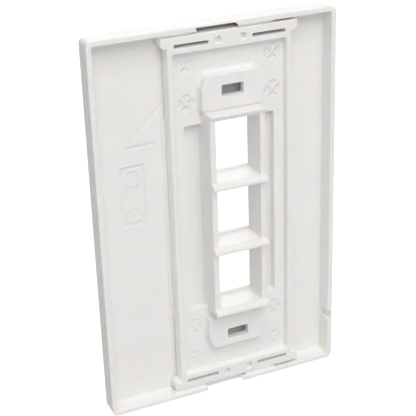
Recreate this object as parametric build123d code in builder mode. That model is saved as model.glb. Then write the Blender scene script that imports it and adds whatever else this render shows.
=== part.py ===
from build123d import *
import os

# Screwless wall plate for three keystone jacks, in two mouldings.
# The port insert screws to the wall box and takes the jacks. The cover frame snaps over it.
# Frame: +Z is up, the front faces -Y, and the wall is the plane y = 0.
# The origin lies on the wall, midway between the two screw slots of the insert.
# Heights are measured from the plate's middle, which lies PLATE_RISE above the origin.
# A depth is measured from the wall towards the front, so a depth of 7.8 is y = -7.8.
# A negative depth stands behind the wall plane, inside the wall box.

# Cover frame
COVER_WIDTH = 79.4
COVER_HEIGHT = 123.8
COVER_DEPTH = 7.8
COVER_SHIFT = 4.6          # the cover's centre lies this far to +X of the insert's centre
PLATE_RISE = 0.5           # the plate's middle lies this far above the middle of the screw slots
COVER_CORNER = 2.0         # radius of the outline's corners
COVER_FRONT_ROUND = 1.3    # rounding between the front face and the sides
COVER_WALL = 1.65          # side walls, at the rim
COVER_FLOOR = 2.6
COVER_DRAFT = 1.0          # degrees, outside and inside
COVER_INNER_CORNER = 0.7
RIM_BEVEL = 0.2            # edges of the rim that meets the wall
FLOOR_ROUND = 0.5          # between the floor and the side walls

# Port insert: flange
FLANGE_WIDTH = 40.2
FLANGE_REAR = 0.6          # depth of its raised rim
FLANGE_THICK = 1.95
TRAY_REAR = 2.9            # depth of the sunk floor inside the rim
SIDE_RIM = 1.6
END_BAR = 5.35             # the rim's width at the top and bottom ends
TRAY_DRAFT = 1.0           # degrees
TRAY_CORNER = 0.5
EAR_REACH = 2.0            # hammerhead ends, beyond the flange's side
EAR_HEIGHT = 3.4
EAR_NECK = 0.4             # radius between the ear and the flange's side
EAR_SHOULDER = 1.5         # radius of the ear's corner on the neck's side
EAR_TIP = 0.5              # radius of its other corner
EDGE_BEVEL = 0.3           # on the rear edges of the flange and of the port column

# Port insert: snap ends
FLEX_WIDTH = 1.2           # flex slots, which let the end strips give
FLEX_CORNER = 0.4
FLEX_NEAR = 7.0            # each slot starts this far from the insert's centre
FLEX_MARGIN = 2.1          # and ends this far inside the flange's side
END_STRIP = 2.35           # width of the strip outside the slots
GATE_RADIUS = 1.1          # blind holes between the flex slots
GATE_DEPTH = 1.2
GATE_BEVEL = 0.25
GATE_X = 4.05
GATE_INSET = 2.75          # from the insert's end to each hole's centre
BUMP_NEAR = 10.0           # latch bumps on the snap ends run between these two places
BUMP_FAR = 15.0
BUMP_PROUD = 0.5
BUMP_LAND = 0.4
BUMP_RAMP = 1.0

# Port insert: bezel and jack ports
BEZEL_WIDTH = 33.1
BEZEL_HEIGHT = 66.4
BEZEL_SETBACK = 0.5        # the bezel's front lies this far behind the cover's front
BEZEL_CORNER = 0.8
BEZEL_ROUND = 0.5
TROUGH_FLOOR = 5.5         # depth of the hollow behind the bezel
BEZEL_SIDE_WALL = 1.55
BEZEL_TOP_WALL = 2.3
BEZEL_BOTTOM_WALL = 1.3
PORT_COUNT = 3
PORT_PITCH = 21.75
PORT_MIDDLE = 0.3          # height of the middle port's centre
PORT_WIDTH = 14.7
PORT_HEIGHT = 16.4
PORT_BEVEL = 1.2
PORT_FRONT_WALL = 1.7
COLUMN_WALL = 1.75
COLUMN_REAR = -3.2         # depth of the side walls' rear edges
BAR_THICK = 2.3
BAR_NOSE = -4.9            # depth of the bars' noses
BAR_NOSE_ROUND = 1.7       # the nose's upper radius, and the rest of the bar is the lower one
BAR_LIP = 0.6              # the front wall rises this far above each bar
HOOD_GAP = 2.85            # from the top port's opening to the hood's underside
HOOD_THICK = 1.75
HOOD_NOSE = -4.3
HOOD_SLANT = 1.1           # the hood's underside is cut back this far at its tip
HOOD_TIP = 0.2
GROOVE_REAR = 0.6          # depth of the floor of the groove between the hood and the top pad

# Port insert: screw pads
SCREW_SPACING = 83.3
SLOT_LENGTH = 7.2
SLOT_WIDTH = 3.6
SLOT_CORNER = 0.5
PAD_WIDTH = 19.9
PAD_INWARD = 6.25          # from half the screw spacing to the pad's inner edge
PAD_OUTWARD = 4.9          # and to its outer edge
PAD_CUT_WIDTH = 1.6        # the outer corners are cut by this much
PAD_CUT_HEIGHT = 3.8
PAD_CUT_ROUND = 1.3
PAD_CORNER = 0.5           # radius of the inner corners
PAD_THICK = 2.2
PAD_ROUND = 0.5
PAD_ROOT = 1.2             # hollow round where the pad rises from the floor
RECESS_WIDTH = 12.6        # room for the screw's head, open to the front
RECESS_HEIGHT = 8.6
RECESS_CORNER = 1.0

# Fit of the two mouldings
END_CLEARANCE = 0.8        # from the insert's ends to the cover's top and bottom walls
BEZEL_CLEARANCE = 0.15     # all round the bezel in the cover's window
LATCH_CLEARANCE = 0.15     # between each ledge and the bump under it
WINDOW_CORNER = 1.0
WINDOW_BEVEL = 0.4
RAIL_REACH = 4.7           # the landing rails' width beside the window
RAIL_TAPER = 4.8           # length of the cut at the rails' lower ends
RAIL_TAPER_DEPTH = 1.2
LEDGE_NEAR = 7.3           # the ledges run between these two places, from the cover's centre
LEDGE_FAR = 18.0
LEDGE_REAR = 0.45
LEDGE_THICK = 1.3
LEDGE_PROUD = 0.7
LEDGE_LEAD = 0.5

# Cut-outs in the cover's rim
RELIEF_SKIN = 0.55         # wall left outside the relief in the top wall
RELIEF_LEFT = 6.5
RELIEF_RIGHT = -6.0
RELIEF_SLANT = 1.2
RELIEF_DEPTH = 3.5
NOTCH_LEFT = 6.6
NOTCH_RIGHT = -5.5
NOTCH_SLANT = 0.8
NOTCH_DEPTH = 2.4
SIDE_RELIEF_SKIN = 0.55    # the relief inside the -X wall
SIDE_RELIEF_LOW = -46.8
SIDE_RELIEF_HIGH = -43.6
SIDE_RELIEF_DEPTH = 4.6

# Places that several features share
flange_front = TRAY_REAR + FLANGE_THICK
cover_floor_rear = COVER_DEPTH - COVER_FLOOR
bezel_front = COVER_DEPTH - BEZEL_SETBACK
port_wall_rear = bezel_front - PORT_FRONT_WALL
inner_width = COVER_WIDTH - 2 * COVER_WALL
inner_height = COVER_HEIGHT - 2 * COVER_WALL
inner_top = inner_height / 2
outer_top = COVER_HEIGHT / 2
insert_top = inner_top - END_CLEARANCE
tray_top = insert_top - END_BAR
ear_z = insert_top - EAR_HEIGHT / 2
ear_span = FLANGE_WIDTH + 2 * EAR_REACH
flex_z = insert_top - END_STRIP - FLEX_WIDTH / 2
flex_far = FLANGE_WIDTH / 2 - FLEX_MARGIN
flex_length = flex_far - FLEX_NEAR
flex_x = (flex_far + FLEX_NEAR) / 2
gate_z = insert_top - GATE_INSET
window_width = BEZEL_WIDTH + 2 * BEZEL_CLEARANCE
window_height = BEZEL_HEIGHT + 2 * BEZEL_CLEARANCE
trough_width = BEZEL_WIDTH - 2 * BEZEL_SIDE_WALL
trough_top = BEZEL_HEIGHT / 2 - BEZEL_TOP_WALL
trough_bottom = -BEZEL_HEIGHT / 2 + BEZEL_BOTTOM_WALL
trough_z = (trough_top + trough_bottom) / 2
column_width = PORT_WIDTH + 2 * COLUMN_WALL
port_levels = [PORT_MIDDLE + (n - (PORT_COUNT - 1) / 2) * PORT_PITCH for n in range(PORT_COUNT)]
bar_below_port = PORT_HEIGHT / 2 + BAR_LIP + BAR_THICK / 2
bar_levels = [level - bar_below_port for level in port_levels]
column_bottom = bar_levels[0] - BAR_THICK / 2
hood_bottom = port_levels[-1] + PORT_HEIGHT / 2 + HOOD_GAP
hood_top = hood_bottom + HOOD_THICK
screw_z = SCREW_SPACING / 2
pad_near = screw_z - PAD_INWARD
pad_far = screw_z + PAD_OUTWARD
bump_rear = LEDGE_REAR + LEDGE_THICK + LATCH_CLEARANCE
SINK = 0.3                 # how far an added feature is rooted in what carries it
NEAR = 0.01                # how close an edge lies to the plane that it is looked for in


def insert_plane(depth):
    """Sketch plane parallel to the wall, centred on the insert. Extrusion runs to the front."""
    return Plane(origin=(0, -depth, PLATE_RISE), x_dir=(1, 0, 0), z_dir=(0, -1, 0))


def cover_plane(depth):
    """The same, centred on the cover."""
    return Plane(origin=(COVER_SHIFT, -depth, PLATE_RISE), x_dir=(1, 0, 0), z_dir=(0, -1, 0))


def side_plane(x):
    """Sketch plane square to the plate's width. Its own axes are +Y and +Z, and extrusion runs to +X."""
    return Plane(origin=(x, 0, PLATE_RISE), x_dir=(0, 1, 0), z_dir=(1, 0, 0))


def edges_at_depth(builder, depth):
    """All edges of the part that lie in the plane at this depth."""
    return builder.edges().filter_by_position(Axis.Y, -depth - NEAR, -depth + NEAR)


# Cover frame: a shallow tray, open to the wall, with a window for the bezel
with BuildPart() as cover_frame:
    with BuildSketch(cover_plane(0)):
        RectangleRounded(COVER_WIDTH, COVER_HEIGHT, COVER_CORNER)
    extrude(amount=COVER_DEPTH, taper=COVER_DRAFT)
    fillet(edges_at_depth(cover_frame, COVER_DEPTH), radius=COVER_FRONT_ROUND)
    chamfer(edges_at_depth(cover_frame, 0), length=RIM_BEVEL)

    with BuildSketch(cover_plane(0)):
        RectangleRounded(inner_width, inner_height, COVER_INNER_CORNER)
    extrude(amount=cover_floor_rear, taper=COVER_DRAFT, mode=Mode.SUBTRACT)
    fillet(edges_at_depth(cover_frame, cover_floor_rear), radius=FLOOR_ROUND)
    rim_face = cover_frame.faces().sort_by(Axis.Y)[-1]
    chamfer(rim_face.inner_wires().edges(), length=RIM_BEVEL)

    # Landing rails: the insert's flange seats on them, on both sides of the window
    with BuildSketch(insert_plane(flange_front)):
        with BuildLine():
            rail_inner = window_width / 2 - SINK
            rail_outer = window_width / 2 + RAIL_REACH
            rail_top = window_height / 2
            Polyline(
                (rail_inner, rail_top),
                (rail_outer, rail_top),
                (rail_outer, -rail_top + RAIL_TAPER),
                (rail_outer - RAIL_TAPER_DEPTH, -rail_top),
                (rail_inner, -rail_top),
                close=True,
            )
        make_face()
        mirror(about=Plane.YZ)
    extrude(amount=cover_floor_rear - flange_front)

    # Window
    with BuildSketch(insert_plane(flange_front)):
        RectangleRounded(window_width, window_height, WINDOW_CORNER)
    extrude(amount=COVER_DEPTH - flange_front, mode=Mode.SUBTRACT)
    front_face = cover_frame.faces().sort_by(Axis.Y)[0]
    chamfer(front_face.inner_wires().edges(), length=WINDOW_BEVEL)

    # Latch ledges on the top and bottom walls, with a lead-in towards the wall side
    for ledge_start in (LEDGE_NEAR, -LEDGE_FAR):
        with BuildSketch(side_plane(COVER_SHIFT + ledge_start)):
            with BuildLine():
                Polyline(
                    (-LEDGE_REAR, inner_top + SINK),
                    (-LEDGE_REAR, inner_top),
                    (-LEDGE_REAR - LEDGE_LEAD, inner_top - LEDGE_PROUD),
                    (-LEDGE_REAR - LEDGE_THICK, inner_top - LEDGE_PROUD),
                    (-LEDGE_REAR - LEDGE_THICK, inner_top + SINK),
                    close=True,
                )
            make_face()
            mirror(about=Plane.XZ)
        extrude(amount=LEDGE_FAR - LEDGE_NEAR)

    # Relief inside the top wall, behind a thin outer skin
    with BuildSketch(cover_plane(0)):
        with BuildLine():
            Polyline(
                (RELIEF_LEFT, inner_top - SINK),
                (RELIEF_LEFT, outer_top - RELIEF_SKIN),
                (RELIEF_RIGHT, outer_top - RELIEF_SKIN),
                (RELIEF_RIGHT - RELIEF_SLANT, inner_top),
                (RELIEF_RIGHT - RELIEF_SLANT, inner_top - SINK),
                close=True,
            )
        make_face()
    extrude(amount=RELIEF_DEPTH, mode=Mode.SUBTRACT)

    # Pry notch through the bottom wall
    with BuildSketch(cover_plane(0)):
        with BuildLine():
            Polyline(
                (NOTCH_LEFT, -inner_top + SINK),
                (NOTCH_LEFT, -outer_top - SINK),
                (NOTCH_RIGHT - NOTCH_SLANT, -outer_top - SINK),
                (NOTCH_RIGHT - NOTCH_SLANT, -outer_top),
                (NOTCH_RIGHT, -inner_top),
                (NOTCH_RIGHT, -inner_top + SINK),
                close=True,
            )
        make_face()
    extrude(amount=NOTCH_DEPTH, mode=Mode.SUBTRACT)

    # Small relief inside the -X wall
    relief_near = -inner_width / 2 + SINK
    relief_far = -COVER_WIDTH / 2 + SIDE_RELIEF_SKIN
    with BuildSketch(cover_plane(0)):
        with Locations(((relief_near + relief_far) / 2, (SIDE_RELIEF_LOW + SIDE_RELIEF_HIGH) / 2)):
            Rectangle(relief_near - relief_far, SIDE_RELIEF_HIGH - SIDE_RELIEF_LOW)
    extrude(amount=SIDE_RELIEF_DEPTH, mode=Mode.SUBTRACT)


# Port insert: flange, bezel, jack ports and screw pads in one moulding
with BuildPart() as port_insert:
    with BuildSketch(insert_plane(FLANGE_REAR)) as flange_outline:
        Rectangle(FLANGE_WIDTH, 2 * insert_top)
        with Locations((0, ear_z), (0, -ear_z)):
            Rectangle(ear_span, EAR_HEIGHT)
        necks = [v for v in flange_outline.vertices() if abs(v.X) < ear_span / 2 - NEAR]
        fillet(necks, radius=EAR_NECK)
        # A fillet makes the outline anew, so the corners are looked for again before each one
        corners = [v for v in flange_outline.vertices() if abs(v.X) > ear_span / 2 - NEAR]
        fillet([v for v in corners if abs(v.Y) > ear_z], radius=EAR_TIP)
        corners = [v for v in flange_outline.vertices() if abs(v.X) > ear_span / 2 - NEAR]
        fillet([v for v in corners if abs(v.Y) < ear_z], radius=EAR_SHOULDER)
    extrude(amount=flange_front - FLANGE_REAR)
    chamfer(edges_at_depth(port_insert, FLANGE_REAR), length=EDGE_BEVEL)

    # Sunk floor inside the raised rim
    with BuildSketch(insert_plane(FLANGE_REAR)):
        RectangleRounded(FLANGE_WIDTH - 2 * SIDE_RIM, 2 * tray_top, TRAY_CORNER)
    extrude(amount=TRAY_REAR - FLANGE_REAR, taper=TRAY_DRAFT, mode=Mode.SUBTRACT)
    rim_face = port_insert.faces().sort_by(Axis.Y)[-1]
    chamfer(rim_face.inner_wires().edges(), length=EDGE_BEVEL)

    # Bezel that fills the cover's window, hollow from behind
    with BuildSketch(insert_plane(flange_front - SINK)):
        RectangleRounded(BEZEL_WIDTH, BEZEL_HEIGHT, BEZEL_CORNER)
    extrude(amount=bezel_front - flange_front + SINK)
    fillet(edges_at_depth(port_insert, bezel_front), radius=BEZEL_ROUND)
    trough_x = (trough_width + column_width) / 4
    with BuildSketch(insert_plane(TRAY_REAR)):
        with Locations((trough_x, trough_z), (-trough_x, trough_z)):
            Rectangle((trough_width - column_width) / 2, trough_top - trough_bottom)
    extrude(amount=TROUGH_FLOOR - TRAY_REAR, mode=Mode.SUBTRACT)

    # Screw pads, raised to the wall plane. Each is made on a piece of the sunk floor of its own,
    # so that the hollow round at its root runs round the pad alone.
    for side in (1, -1):
        with BuildPart(mode=Mode.PRIVATE) as screw_pad:
            with BuildSketch(insert_plane(TRAY_REAR)):
                with Locations((0, side * (pad_near + pad_far) / 2)):
                    foot_margin = PAD_ROOT + SINK
                    Rectangle(PAD_WIDTH + 2 * foot_margin, pad_far - pad_near + 2 * foot_margin)
            extrude(amount=SINK)
            with BuildSketch(insert_plane(0)) as pad_outline:
                with BuildLine():
                    Polyline(
                        (0, side * pad_near),
                        (PAD_WIDTH / 2, side * pad_near),
                        (PAD_WIDTH / 2, side * (pad_far - PAD_CUT_HEIGHT)),
                        (PAD_WIDTH / 2 - PAD_CUT_WIDTH, side * pad_far),
                        (0, side * pad_far),
                        close=True,
                    )
                make_face()
                mirror(about=Plane.YZ)
                near_corners = [v for v in pad_outline.vertices() if abs(v.Y) < pad_near + NEAR]
                fillet([v for v in near_corners if abs(v.X) > NEAR], radius=PAD_CORNER)
                cut_corners = [v for v in pad_outline.vertices() if abs(v.Y) > pad_near + PAD_CORNER + NEAR]
                fillet([v for v in cut_corners if abs(v.X) > NEAR], radius=PAD_CUT_ROUND)
            extrude(amount=TRAY_REAR)
            foot_face = screw_pad.faces().filter_by_position(Axis.Y, -TRAY_REAR - NEAR, -TRAY_REAR + NEAR)[0]
            fillet(foot_face.inner_wires().edges(), radius=PAD_ROOT)
            fillet(edges_at_depth(screw_pad, 0), radius=PAD_ROUND)
        add(screw_pad.part)

    # Column of jack ports: a box that stands out into the wall box
    with BuildSketch(insert_plane(COLUMN_REAR)):
        with Locations((0, (column_bottom + hood_top) / 2)):
            Rectangle(column_width, hood_top - column_bottom)
    extrude(amount=flange_front - COLUMN_REAR)
    chamfer(edges_at_depth(port_insert, COLUMN_REAR).filter_by(Axis.Z), length=EDGE_BEVEL)

    # Bars between the ports, with rounded noses that the jacks hook over
    with BuildSketch(side_plane(0)) as bar_section:
        with Locations([(-(BAR_NOSE + flange_front) / 2, level) for level in bar_levels]):
            Rectangle(flange_front - BAR_NOSE, BAR_THICK)
        noses = bar_section.vertices().group_by(Axis.X)[-1].sort_by(Axis.Y)
        fillet(noses[1::2], radius=BAR_NOSE_ROUND)
        noses = bar_section.vertices().group_by(Axis.X)[-1].sort_by(Axis.Y)
        fillet(noses[0::2], radius=BAR_THICK - BAR_NOSE_ROUND - NEAR)
    extrude(amount=column_width / 2, both=True)

    # Hood over the top port, cut back underneath to a thin tip
    with BuildSketch(side_plane(0)):
        with BuildLine():
            Polyline(
                (0, hood_top),
                (-HOOD_NOSE, hood_top),
                (-HOOD_NOSE, hood_top - HOOD_TIP),
                (-HOOD_NOSE - HOOD_SLANT, hood_bottom),
                (0, hood_bottom),
                close=True,
            )
        make_face()
    extrude(amount=column_width / 2, both=True)

    # Floor of the shallow groove between the hood and the top pad
    with BuildSketch(insert_plane(GROOVE_REAR)):
        with Locations((0, (hood_top + pad_near) / 2)):
            Rectangle(column_width, pad_near - hood_top + 2 * SINK)
    extrude(amount=TRAY_REAR - GROOVE_REAR)

    # Jack cells, from behind, and their openings in the front wall
    cell_roofs = [level - BAR_THICK / 2 for level in bar_levels[1:]] + [hood_bottom]
    for bar_level, cell_roof in zip(bar_levels, cell_roofs):
        cell_floor = bar_level + BAR_THICK / 2
        with BuildSketch(insert_plane(BAR_NOSE)):
            with Locations((0, (cell_floor + cell_roof) / 2)):
                Rectangle(PORT_WIDTH, cell_roof - cell_floor)
        extrude(amount=port_wall_rear - BAR_NOSE, mode=Mode.SUBTRACT)
    with BuildSketch(insert_plane(port_wall_rear)):
        with Locations([(0, level) for level in port_levels]):
            Rectangle(PORT_WIDTH, PORT_HEIGHT)
    extrude(amount=PORT_FRONT_WALL, mode=Mode.SUBTRACT)
    front_face = port_insert.faces().sort_by(Axis.Y)[0]
    chamfer(front_face.inner_wires().edges(), length=PORT_BEVEL)

    # Room for the screw heads from the front, and the screw slots
    screw_places = [(0, screw_z - PLATE_RISE), (0, -screw_z - PLATE_RISE)]
    with BuildSketch(insert_plane(PAD_THICK)):
        with Locations(screw_places):
            RectangleRounded(RECESS_WIDTH, RECESS_HEIGHT, RECESS_CORNER)
    extrude(amount=flange_front - PAD_THICK, mode=Mode.SUBTRACT)
    with BuildSketch(insert_plane(0)):
        with Locations(screw_places):
            RectangleRounded(SLOT_LENGTH, SLOT_WIDTH, SLOT_CORNER)
    extrude(amount=PAD_THICK, mode=Mode.SUBTRACT)

    # Snap ends: flex slots through the end bars, and latch bumps under the cover's ledges
    flex_places = [(x, z) for x in (flex_x, -flex_x) for z in (flex_z, -flex_z)]
    with BuildSketch(insert_plane(FLANGE_REAR)):
        with Locations(flex_places):
            RectangleRounded(flex_length, FLEX_WIDTH, FLEX_CORNER)
    extrude(amount=flange_front - FLANGE_REAR, mode=Mode.SUBTRACT)
    for bump_start in (BUMP_NEAR, -BUMP_FAR):
        with BuildSketch(side_plane(bump_start)):
            with BuildLine():
                Polyline(
                    (-bump_rear, insert_top - SINK),
                    (-bump_rear, insert_top + BUMP_PROUD),
                    (-bump_rear - BUMP_LAND, insert_top + BUMP_PROUD),
                    (-bump_rear - BUMP_LAND - BUMP_RAMP, insert_top),
                    (-bump_rear - BUMP_LAND - BUMP_RAMP, insert_top - SINK),
                    close=True,
                )
            make_face()
            mirror(about=Plane.XZ)
        extrude(amount=BUMP_FAR - BUMP_NEAR)

    # Blind moulding holes between the flex slots, each with a conical mouth
    gate_places = [(x, z) for x in (GATE_X, -GATE_X) for z in (gate_z, -gate_z)]
    with BuildSketch(insert_plane(FLANGE_REAR)):
        with Locations(gate_places):
            Circle(GATE_RADIUS + GATE_BEVEL)
    extrude(amount=GATE_BEVEL, taper=45, mode=Mode.SUBTRACT)
    with BuildSketch(insert_plane(FLANGE_REAR)):
        with Locations(gate_places):
            Circle(GATE_RADIUS)
    extrude(amount=GATE_DEPTH, mode=Mode.SUBTRACT)


cover_frame.part.label = "cover_frame"
port_insert.part.label = "port_insert"

os.makedirs("parts", exist_ok=True)
export_step(cover_frame.part, "parts/cover_frame.step")
export_step(port_insert.part, "parts/port_insert.step")
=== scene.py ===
# %% [markdown]
# # The back of a wall plate for three keystone jacks
#
# The real object is two white mouldings: a cover frame, and a port insert that the cover snaps over.
# This script leaves their shapes alone. It gives them their plastic, adds the fine relief that the
# mould leaves on the back faces, and sets up light, floor and camera.

# %% Load the frame and keep its size
import math

import bpy
import numpy as np
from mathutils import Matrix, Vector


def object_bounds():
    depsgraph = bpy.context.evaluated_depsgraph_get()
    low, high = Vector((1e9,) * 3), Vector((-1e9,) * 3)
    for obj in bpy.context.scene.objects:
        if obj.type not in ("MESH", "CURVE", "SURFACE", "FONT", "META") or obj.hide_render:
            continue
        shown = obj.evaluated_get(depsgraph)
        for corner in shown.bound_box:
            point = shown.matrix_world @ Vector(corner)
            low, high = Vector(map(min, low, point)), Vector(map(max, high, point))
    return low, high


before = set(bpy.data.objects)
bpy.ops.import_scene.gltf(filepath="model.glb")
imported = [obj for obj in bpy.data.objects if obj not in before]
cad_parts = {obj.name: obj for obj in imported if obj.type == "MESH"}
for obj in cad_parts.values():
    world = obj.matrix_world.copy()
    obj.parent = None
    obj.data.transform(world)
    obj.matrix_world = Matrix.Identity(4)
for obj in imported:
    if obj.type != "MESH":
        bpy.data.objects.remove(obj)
cad_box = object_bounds()
MM = 0.001
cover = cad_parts["cover_frame"]
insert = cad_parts["port_insert"]
print("nodes:", sorted(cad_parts), "box:", [tuple(round(v, 4) for v in p) for p in cad_box])

# %% [markdown]
# ## Shader maths as Python
#
# A procedural material is a sum of many small steps, and wiring them by hand hides the idea.
# Wrapping a socket in a class with + - * lets each pattern read as one formula. Colours still go
# through Mix nodes, because a Math node would turn them grey.

# %% A socket that can be added and multiplied


class Value:
    """A number in a shader tree. An operator on it adds one Math node and returns its result."""

    def __init__(self, tree, socket):
        self.tree = tree
        self.socket = socket

    def maths(self, operation, *others):
        """One Math node: this value first, then the others."""
        return self.tree.add("ShaderNodeMath", {"operation": operation}, [self, *others])

    def __add__(self, other):
        return self.maths("ADD", other)

    def __radd__(self, other):
        return self.maths("ADD", other)

    def __sub__(self, other):
        return self.maths("SUBTRACT", other)

    def __rsub__(self, other):
        return self.tree.add("ShaderNodeMath", {"operation": "SUBTRACT"}, [other, self])

    def __mul__(self, other):
        return self.maths("MULTIPLY", other)

    def __rmul__(self, other):
        return self.maths("MULTIPLY", other)

    def size(self):
        """The value without its sign."""
        return self.maths("ABSOLUTE")

    def least(self, other):
        """The smaller of the two."""
        return self.maths("MINIMUM", other)

    def most(self, other):
        """The larger of the two."""
        return self.maths("MAXIMUM", other)

    def between(self, low, high):
        """0 below low, 1 above high, and a smooth step between."""
        settings = {"interpolation_type": "SMOOTHSTEP"}
        inputs = {"Value": self, "From Min": low, "From Max": high}
        return self.tree.add("ShaderNodeMapRange", settings, inputs)


class Tree:
    """The emptied node tree of a material or a world, and one method that makes any node."""

    def __init__(self, owner):
        owner.use_nodes = True
        self.nodes = owner.node_tree.nodes
        self.links = owner.node_tree.links
        self.nodes.clear()

    def add(self, kind, settings=None, inputs=None, output=0):
        """One output of a new node. Its settings are set first, then its sockets get values or links."""
        node = self.nodes.new(kind)
        for key, value in (settings or {}).items():
            setattr(node, key, value)
        pairs = inputs.items() if isinstance(inputs, dict) else enumerate(inputs or [])
        for key, value in pairs:
            if isinstance(value, Value):
                self.links.new(value.socket, node.inputs[key])
            else:
                node.inputs[key].default_value = value
        return Value(self, node.outputs[output]) if node.outputs else None

    def place(self):
        """The shaded point in the object's own coordinates."""
        return self.add("ShaderNodeTexCoord", output="Object")

    def axes(self, place):
        """The three coordinates of a place."""
        first = self.add("ShaderNodeSeparateXYZ", {}, [place])
        return [Value(self, socket) for socket in first.socket.node.outputs]

    def noise(self, place, scale, detail, roughness):
        """Perlin noise about 0.5, with this many waves to the metre."""
        inputs = {"Vector": place, "Scale": scale, "Detail": detail, "Roughness": roughness}
        return self.add("ShaderNodeTexNoise", {}, inputs)

    def mix_colour(self, amount, low, high):
        """Colour low where amount is 0, and high where it is 1."""
        return self.add("ShaderNodeMix", {"data_type": "RGBA"}, {0: amount, 6: low, 7: high}, output=2)

    def ray(self, kind):
        """1 for rays of this kind, such as Is Camera Ray, and 0 for all others."""
        return self.add("ShaderNodeLightPath", output=kind)


print("shader helpers ready")

# %% [markdown]
# ## Marks that the mould leaves
#
# The back faces carry low marks. The picture doesn't give their depths, so these are set to
# 0.1 to 0.3 mm. They hardly change the outline, so they are a height over the face and not a shape
# of their own. Each mark is a formula in the face's two directions, x and z: the distance from a
# point or a line, and a soft step that turns the distance into a height. The step is kept wide,
# because narrower ones hardly showed in the render.

# %% Distances and soft steps
SOFT = 0.35 * MM           # half the width of a mark's sloping edge


def from_point(x, z, middle):
    """Distance from a point: sqrt((x - a)^2 + (z - b)^2)."""
    across = x - middle[0]
    up = z - middle[1]
    return (across * across + up * up).maths("SQRT")


def from_line(x, z, start, end):
    """Distance from a line's nearest point start + t (end - start), with t held between 0 and 1."""
    run = (end[0] - start[0], end[1] - start[1])
    length = math.hypot(*run)
    t = (x - start[0]) * (run[0] / length**2) + (z - start[1]) * (run[1] / length**2)
    t = t.least(1.0).most(0.0)
    across = x - start[0] - t * run[0]
    up = z - start[1] - t * run[1]
    return (across * across + up * up).maths("SQRT")


def past(value, edge):
    """0 before an edge and 1 past it, over the width of a mark's sloping edge."""
    return value.between(edge - SOFT, edge + SOFT)


print("a mark's edge is", round(2 * SOFT / MM, 2), "mm wide")

# %% [markdown]
# ## Dents on the port insert
#
# The insert's sunk floor has eight round dents above and below the ports, each with an X of ribs in
# it. They are mirrored left to right, top to bottom and within each pair, so abs() folds the face
# three times, and one dent is drawn in eight places. The upper ones show more in the picture, so
# they are made deeper.

# %% Height of the insert's marks
DENT_MIDDLE = (-0.3 * MM, 0.5 * MM)
DENT_X = 14.3 * MM         # from that middle to both sides
DENT_Z = 44.05 * MM        # up and down, to the middle of each pair of dents
DENT_STEP = 5.95 * MM      # half the spacing of a pair
DENT_RADIUS = 2.55 * MM
DENT_DEPTHS = (0.16 * MM, 0.28 * MM)  # of the lower and of the upper dents
DENT_CHANGE = 10 * MM      # the depth changes over this height above and below z = 0
RIB_HALF = 0.35 * MM       # half the width of a rib
INSERT_LIMIT = (-3.6 * MM, -3.2 * MM)  # just under the sunk floor, so that other faces stay plain


def insert_marks(x, y, z):
    """Eight round dents in the sunk floor, each crossed by an X of ribs."""
    across = (x - DENT_MIDDLE[0]).size() - DENT_X
    up = ((z - DENT_MIDDLE[1]).size() - DENT_Z).size() - DENT_STEP
    outside = past(from_point(across, up, (0.0, 0.0)), DENT_RADIUS)
    from_rib = (across - up).size().least((across + up).size())
    beside_rib = past(from_rib, RIB_HALF + SOFT)
    lower, upper = DENT_DEPTHS
    depth = z.between(-DENT_CHANGE, DENT_CHANGE) * (upper - lower) + lower
    return (outside - 1.0) * beside_rib * y.between(*INSERT_LIMIT) * depth


print("dents:", [round(depth / MM, 2) for depth in DENT_DEPTHS], "mm deep")

# %% [markdown]
# ## Panel, rings and lines on the cover
#
# Beside the insert, the cover's back has a shallow sunk panel with two plain rings in it, such as
# ejector pins leave, and three faint lines. The panel is a product of four steps, one for each side,
# and its outer side rises slowly. A ring is the distance from its own circle, faded out.

# %% Height of the cover's marks
PANEL_X = (27.5 * MM, 35.5 * MM)
PANEL_Z = (1.5 * MM, 20.9 * MM)
PANEL_FADE = 1.4 * MM      # width of the slope at the panel's outer side
PANEL_DEPTH = 0.25 * MM
RINGS = ((31.3 * MM, 17.1 * MM), (31.3 * MM, 5.1 * MM))
RING_RADIUS = 2.6 * MM
RING_HALF = 0.7 * MM       # half the width of a ring's low ridge
RING_HEIGHT = 0.16 * MM
LINES = (                  # start, end, half width and depth
    ((24.2 * MM, 26.85 * MM), (32.2 * MM, 26.75 * MM), 0.9 * MM, 0.2 * MM),
    ((20.2 * MM, 39.6 * MM), (31.5 * MM, 28.3 * MM), 0.9 * MM, 0.12 * MM),
    ((21.3 * MM, -34.8 * MM), (24.9 * MM, -34.6 * MM), 0.6 * MM, 0.1 * MM),
)
COVER_LIMIT = (-6.6 * MM, -6.2 * MM)  # inside the cover's floor, so that its front stays plain


def cover_marks(x, y, z):
    """A sunk panel with two plain rings, and three faint lines, on the floor's back face."""
    in_x = past(x, PANEL_X[0]) * (1.0 - x.between(PANEL_X[1] - PANEL_FADE, PANEL_X[1]))
    in_z = past(z, PANEL_Z[0]) * (1.0 - past(z, PANEL_Z[1]))
    height = in_x * in_z * -PANEL_DEPTH
    for middle in RINGS:
        off_ring = (from_point(x, z, middle) - RING_RADIUS).size().between(0.0, RING_HALF)
        height = height + (1.0 - off_ring) * RING_HEIGHT
    for start, end, half, depth in LINES:
        off_line = from_line(x, z, start, end).between(0.0, half)
        height = height - (1.0 - off_line) * depth
    return height * y.between(*COVER_LIMIT)


print("cover:", len(RINGS), "rings and", len(LINES), "lines")

# %% [markdown]
# ## White moulded ABS
#
# The plate is satin white plastic, taken to be ABS. Seen close, such mouldings usually aren't quite
# even: a fine spark finish gives a soft grain, the melt leaves very low waves where it flowed and
# shrank, and the gloss changes a little with both. The picture is too coarse to show any of this,
# so it is a guess and kept faint. The colour hardly changes at all. So almost everything is done
# with roughness and a very small bump, and only a trace of warmth goes into the colour. A little
# light spreads inside the plastic and softens the corners.

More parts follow.
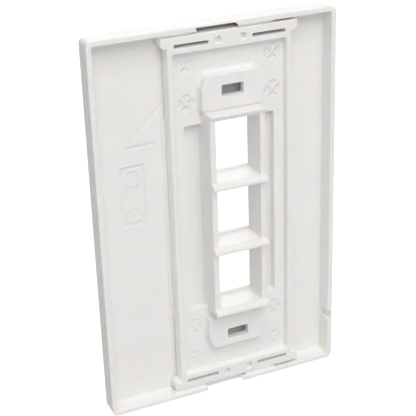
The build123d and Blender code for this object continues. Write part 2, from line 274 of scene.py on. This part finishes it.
# %% The plastic of both mouldings
GRAIN = 2600.0             # waves to the metre: a grain of about 0.4 mm
FLOW = 70.0                # waves to the metre: swells of about 15 mm
GRAIN_HEIGHT = 0.006 * MM
FLOW_HEIGHT = 0.05 * MM
FLOW_SHARE = 0.6           # of the change in gloss, and the grain makes the rest
WARM_RANGE = (0.3, 0.7)    # the flow's range over which the warmer shade takes over
COVER_GLOSS = (0.38, 0.52)  # roughness of the smoothest and of the dullest spots
INSERT_GLOSS = (0.36, 0.50)
ABS_IOR = 1.52
GLOSS_LEVEL = 0.3          # less than the usual 0.5, because reflections see a white world
SCATTER = (1.0, 0.7, 0.45)  # red light goes furthest into the white
SCATTER_DEPTH = 0.4 * MM   # more would darken the seam between the mouldings


def linear(red, green, blue):
    """Screen values from 0 to 255 as the linear colour that a shader takes."""
    levels = np.array([red, green, blue]) / 255.0
    curve = np.where(levels <= 0.04045, levels / 12.92, ((levels + 0.055) / 1.055) ** 2.4)
    return (*[float(v) for v in curve], 1.0)


SHADE = linear(248, 246, 244)
WARM_SHADE = linear(246, 244, 241)


def moulded_white(name, gloss, marks):
    """Satin white plastic: two shades mixed by slow noise, and grain, flow and marks in the bump."""
    material = bpy.data.materials.new(name)
    tree = Tree(material)
    place = tree.place()
    grain = tree.noise(place, GRAIN, detail=3.0, roughness=0.6)
    flow = tree.noise(place, FLOW, detail=2.0, roughness=0.45)
    height = grain * GRAIN_HEIGHT + flow * FLOW_HEIGHT + marks(*tree.axes(place))
    bump = tree.add("ShaderNodeBump", {}, {"Height": height, "Strength": 1.0, "Distance": 1.0})
    unevenness = FLOW_SHARE * flow + (1.0 - FLOW_SHARE) * grain
    shader = tree.add(
        "ShaderNodeBsdfPrincipled",
        {},
        {
            "Base Color": tree.mix_colour(flow.between(*WARM_RANGE), SHADE, WARM_SHADE),
            "Roughness": gloss[0] + (gloss[1] - gloss[0]) * unevenness,
            "IOR": ABS_IOR,
            "Specular IOR Level": GLOSS_LEVEL,
            "Normal": bump,
            "Subsurface Weight": 1.0,
            "Subsurface Radius": SCATTER,
            "Subsurface Scale": SCATTER_DEPTH,
        },
    )
    tree.add("ShaderNodeOutputMaterial", {}, {"Surface": shader})
    return material


cover_white = moulded_white("cover_plastic", COVER_GLOSS, cover_marks)
insert_white = moulded_white("insert_plastic", INSERT_GLOSS, insert_marks)
for node, material in ((cover, cover_white), (insert, insert_white)):
    node.data.materials.clear()
    node.data.materials.append(material)
print("plastics:", [node.data.materials[0].name for node in (cover, insert)])

# %% [markdown]
# ## Light
#
# The picture looks as if taken in a white tent: soft light from all round, and more from above.
# A grey world gives the even light, and the camera and reflections see that world as white. A broad
# key lamp stands high behind the wall plane, over the camera's shoulder, and lays the soft shade
# under the top wall. A second broad lamp lights the plate's front, which only other views show.
# The strengths, the lamp's place and the plastic's shades were found together, by rendering again
# and again and comparing with the picture, so they are values that match and not measured ones.

# %% World and lamps
WORLD_LIGHT = 0.37         # of plain white
LAMP_SIZE = 1.2            # side of both lamps, in metres
LAMPS = (                  # name, place in metres and power in watts
    ("key_lamp", (0.1, 1.03, 1.22), 15.7),
    ("front_lamp", (-0.3, -1.4, 0.6), 7.0),
)


def white_world(strength):
    """Even grey light for the object. The camera, reflections and clear parts see plain white."""
    world = bpy.data.worlds.new("studio_world")
    bpy.context.scene.world = world
    tree = Tree(world)
    seen = tree.ray("Is Camera Ray")
    for kind in ("Is Glossy Ray", "Is Transmission Ray"):
        seen = seen.most(tree.ray(kind))
    level = strength + (1.0 - strength) * seen
    light = tree.add("ShaderNodeBackground", {}, {"Color": (1.0, 1.0, 1.0, 1.0), "Strength": level})
    tree.add("ShaderNodeOutputWorld", {}, {"Surface": light})


def square_lamp(name, place, power):
    """A square area lamp that faces the origin."""
    data = bpy.data.lights.new(name, "AREA")
    data.size = LAMP_SIZE
    data.energy = power
    lamp = bpy.data.objects.new(name, data)
    bpy.context.scene.collection.objects.link(lamp)
    lamp.location = place
    away = np.array(place) / np.linalg.norm(place)
    lamp.rotation_euler = (math.acos(away[2]), 0.0, math.atan2(away[1], away[0]) + math.pi / 2)
    return lamp


white_world(WORLD_LIGHT)
for name, place, power in LAMPS:
    lamp = square_lamp(name, place, power)
    print(lamp.name, "at", [round(v, 2) for v in lamp.location], "power", round(lamp.data.energy, 1))

# %% [markdown]
# ## Floor
#
# In the picture the plate stands against plain white. The floor lies well below it, keeps its soft
# shadow, and turns to the white of the world further out, so that no horizon shows.

# %% A pale floor
FLOOR_DROP = 0.19          # below the plate's lowest point
FLOOR_REACH = 3.0          # from the middle to each side
FLOOR_GLOW = 0.5           # seen by the camera only, it lifts the floor to white
FADE = (0.4, 1.6)          # between these distances the glow rises to the full white of the world
PAPER = linear(236, 236, 236)


def pale_floor(height, reach):
    """A square plane that the camera sees a little brighter than it is lit, and white far out."""
    mesh = bpy.data.meshes.new("floor")
    corners = [(reach * x, reach * y, height) for x, y in ((-1, -1), (1, -1), (1, 1), (-1, 1))]
    mesh.from_pydata(corners, [], [(0, 1, 2, 3)])
    floor = bpy.data.objects.new("floor", mesh)
    bpy.context.scene.collection.objects.link(floor)
    material = bpy.data.materials.new("floor_paper")
    tree = Tree(material)
    x, y, _ = tree.axes(tree.place())
    far = from_point(x, y, (0.0, 0.0)).between(*FADE)
    glow = tree.ray("Is Camera Ray") * (far * (1.0 - FLOOR_GLOW) + FLOOR_GLOW)
    lit = tree.add("ShaderNodeBsdfDiffuse", {}, {"Color": PAPER})
    glowing = tree.add("ShaderNodeEmission", {}, {"Strength": glow})
    both = tree.add("ShaderNodeAddShader", {}, [lit, glowing])
    tree.add("ShaderNodeOutputMaterial", {}, {"Surface": both})
    mesh.materials.append(material)
    return floor


floor = pale_floor(cad_box[0][2] - FLOOR_DROP, FLOOR_REACH)
print("floor at", round(cad_box[0][2] - FLOOR_DROP, 3))

# %% [markdown]
# ## Camera
#
# The camera's place, turn and lens come from fitting the plate's edges in the picture to the size
# that was taken for the plate. The fit puts the lens's aim a little off the picture's middle, as in
# a picture cut from a larger one, and a small shift allows for that.

# %% The camera of the picture
CAMERA_PLACE = (135.12 * MM, 294.80 * MM, 154.58 * MM)
CAMERA_TURN = (65.702, 1.055, 154.652)  # pitch, roll and heading in degrees
SENSOR = 36.0              # width in millimetres
PICTURE = 416              # side of the picture, in pixels
FOCAL_PIXELS = 1153.37     # focal length, in pixels of the picture
AIM_PIXEL = (239.57, 191.71)  # where the lens points, from the picture's upper left corner
NEAREST = 10 * MM          # anything nearer to the camera isn't drawn

camera_data = bpy.data.cameras.new("camera")
camera_data.sensor_fit = "HORIZONTAL"
camera_data.sensor_width = SENSOR
camera_data.lens = FOCAL_PIXELS / PICTURE * SENSOR
camera_data.shift_x = (PICTURE / 2 - AIM_PIXEL[0]) / PICTURE
camera_data.shift_y = (AIM_PIXEL[1] - PICTURE / 2) / PICTURE
camera_data.clip_start = NEAREST
camera = bpy.data.objects.new("camera", camera_data)
bpy.context.scene.collection.objects.link(camera)
camera.location = CAMERA_PLACE
camera.rotation_euler = [math.radians(angle) for angle in CAMERA_TURN]
bpy.context.scene.camera = camera
bpy.context.scene.view_settings.view_transform = "Standard"
shift = (camera_data.shift_x, camera_data.shift_y)
print("lens", round(camera_data.lens, 2), "mm, shift", [round(v, 4) for v in shift])
